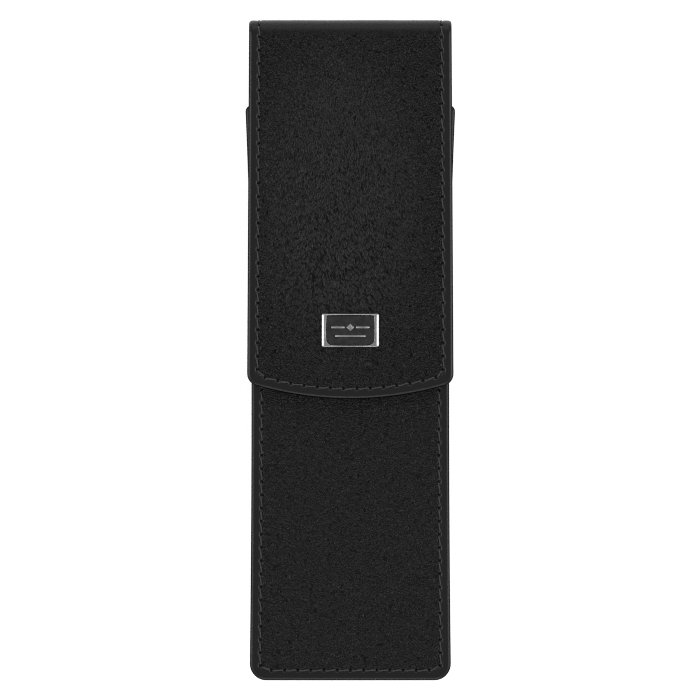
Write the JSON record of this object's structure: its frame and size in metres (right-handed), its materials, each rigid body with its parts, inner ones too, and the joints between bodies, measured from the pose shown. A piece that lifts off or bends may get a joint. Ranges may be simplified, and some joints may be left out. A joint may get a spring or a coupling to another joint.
{
  "type": "fountain pen case",
  "caption": "Slim black leather case for fountain pens: gusseted pocket, long flap folding over its top and held by a hidden magnet, small metal badge near the flap's curved end.",
  "frame": {"origin": "middle of the underside of the back, on the surface the case lies on", "axes": "X across the case, +Y towards the folded top, +Z out of the front and flap"},
  "size_m": [0.0508, 0.16, 0.021],
  "materials": {
    "black_leather": "fine pebbled grain, smooth and slightly glossier at the turned edges",
    "divider_leather": "smooth matt",
    "lining": "fine woven black lining",
    "board": "raw pressed board",
    "thread": "twisted polyester thread",
    "nickel_steel": "nickel plated",
    "backing_steel": "plain zinc plated",
    "badge_chrome": "polished",
    "badge_plate": "satin dark grey"
  },
  "bodies": {
    "pocket": {"back_leather": "black_leather", "back_board": "board", "back_lining": "lining", "back_thread": "thread", "back_bobbin_thread": "thread", "back_top_thread": "thread", "gusset": "black_leather", "gusset_lining": "lining", "front_leather": "black_leather", "front_board": "board", "front_lining": "lining", "front_thread": "thread", "front_bobbin_thread": "thread", "mouth_thread": "thread", "keeper_disc": "nickel_steel", "pen_divider": "divider_leather"},
    "roof": {"roof_leather": "black_leather", "roof_board": "board", "roof_lining": "lining", "roof_thread": "thread"},
    "flap": {"flap_leather": "black_leather", "flap_board": "board", "flap_lining": "lining", "flap_thread": "thread", "flap_bobbin_thread": "thread", "flap_magnet": "nickel_steel", "badge_frame": "badge_chrome", "badge_plate": "badge_plate", "badge_emblem": "badge_chrome", "badge_backing": "backing_steel"}
  },
  "joints": [
    {"name": "roof_hinge", "type": "hinge", "parent": "pocket", "child": "roof", "pos_m": [0, 0.07898, 0.00103], "axis": [-1, 0, 0], "range_deg": [0, 90]},
    {"name": "flap_hinge", "type": "hinge", "parent": "roof", "child": "flap", "pos_m": [0, 0.07898, 0.01918], "axis": [-1, 0, 0], "range_deg": [0, 90]}
  ]
}
